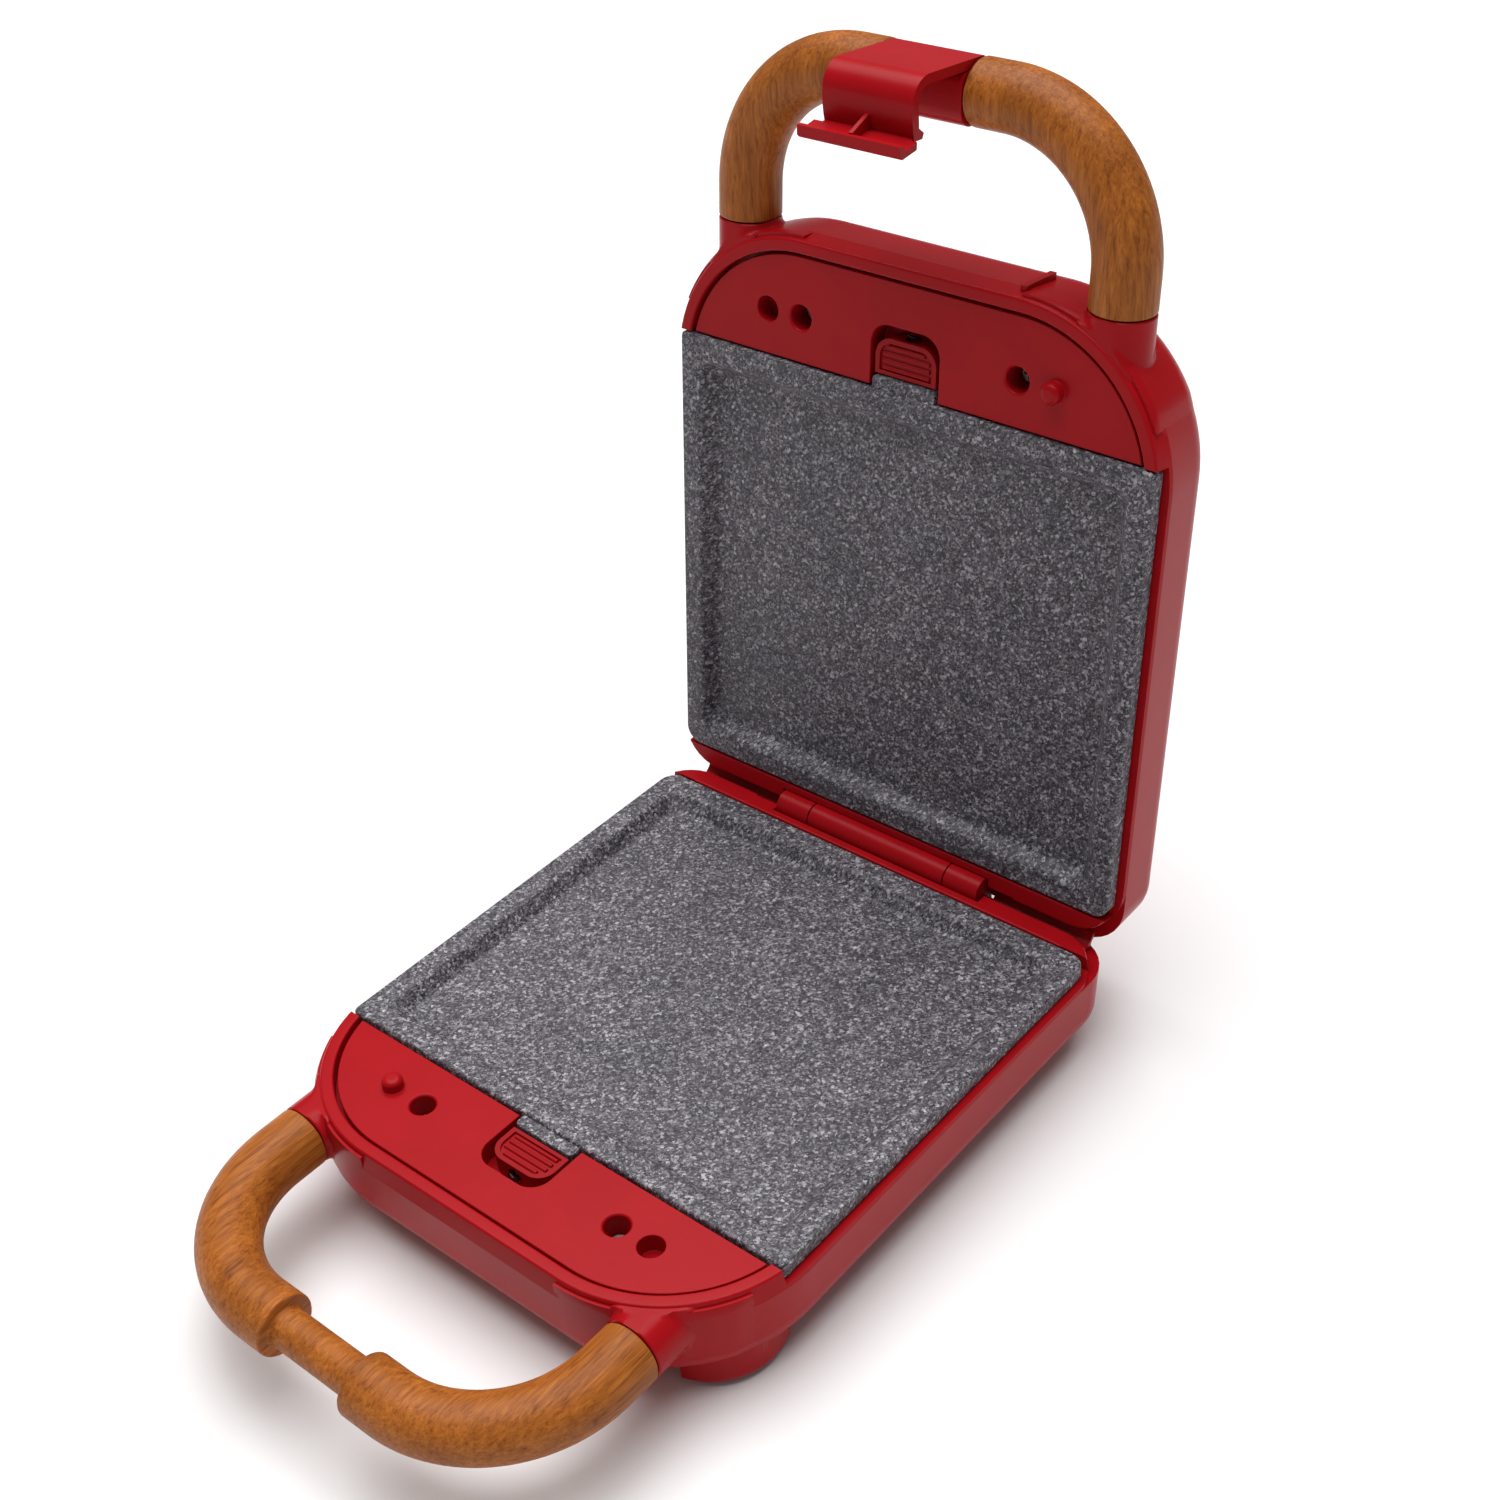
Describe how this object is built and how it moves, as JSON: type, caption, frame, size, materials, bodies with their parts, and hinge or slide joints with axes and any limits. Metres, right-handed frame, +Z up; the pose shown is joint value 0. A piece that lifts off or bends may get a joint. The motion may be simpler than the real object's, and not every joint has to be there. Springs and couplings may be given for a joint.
{
  "type": "donut maker",
  "caption": "Hinged countertop plate press with two removable stone-effect plates, loop handles and a swinging latch clip on the lid.",
  "frame": {"origin": "centre of the bounding box on the surface that the base stands on", "axes": "+Z up, front with the lower handle towards -Y, hinge line along X behind the plates"},
  "size_m": [0.1356, 0.2362, 0.2284],
  "materials": {
    "casing_red": "glossy moulded red",
    "button_red": "satin moulded red",
    "stone_coating": "speckled stone-effect non-stick coating",
    "grip_wood": "satin wood grain",
    "steel": "zinc plated",
    "element_steel": "dull heat-tinted",
    "pan_aluminium": "plain sheet",
    "ceramic_white": "unglazed",
    "black_rubber": "matt",
    "lens_amber": "clear tinted"
  },
  "bodies": {
    "base": {"base_housing": "casing_red", "foot_pad_front_left": "black_rubber", "foot_pad_front_right": "black_rubber", "foot_pad_rear_left": "black_rubber", "foot_pad_rear_right": "black_rubber", "lower_deck": "casing_red", "lower_deck_screw_left": "steel", "lower_deck_screw_right": "steel", "lower_button_spring": "steel", "lower_heating_element": "element_steel", "lower_reflector": "pan_aluminium", "thermostat": "ceramic_white", "terminal_block": "ceramic_white", "cord_gland": "black_rubber", "lower_grip": "grip_wood", "hinge_pin": "steel"},
    "lid": {"lid_housing": "casing_red", "upper_deck": "casing_red", "upper_deck_screw_left": "steel", "upper_deck_screw_right": "steel", "upper_button_spring": "steel", "upper_heating_element": "element_steel", "upper_reflector": "pan_aluminium", "thermal_fuse": "ceramic_white", "power_lens": "lens_amber", "ready_lens": "lens_amber", "upper_grip_left": "grip_wood", "upper_grip_right": "grip_wood", "latch_bridge": "casing_red", "clip_pin": "steel"},
    "latch_clip": {"latch_clip": "casing_red"},
    "lower_release_button": {"lower_release_button": "button_red"},
    "upper_release_button": {"upper_release_button": "button_red"},
    "lower_plate": {"lower_plate": "stone_coating"},
    "upper_plate": {"upper_plate": "stone_coating"}
  },
  "joints": [
    {"name": "lid_hinge", "type": "hinge", "parent": "base", "child": "lid", "pos_m": [0, 0.0801, 0.03], "axis": [-1, 0, 0], "range_deg": [-95.6, 0]},
    {"name": "clip_hinge", "type": "hinge", "parent": "lid", "child": "latch_clip", "pos_m": [0, 0.10508, 0.21916], "axis": [-1, 0, 0], "range_deg": [0, 70]},
    {"name": "lower_button_slide", "type": "slide", "parent": "base", "child": "lower_release_button", "axis": [0, -1, 0], "range_m": [0, 0.0028], "stiffness_N_per_m": 150},
    {"name": "upper_button_slide", "type": "slide", "parent": "lid", "child": "upper_release_button", "axis": [0, 0.0976, 0.9952], "range_m": [0, 0.0028], "stiffness_N_per_m": 150},
    {"name": "lower_plate_lift", "type": "slide", "parent": "base", "child": "lower_plate", "axis": [0, 0, 1], "range_m": [0, 0.04]},
    {"name": "upper_plate_lift", "type": "slide", "parent": "lid", "child": "upper_plate", "axis": [0, -0.9952, 0.0976], "range_m": [0, 0.006]}
  ]
}
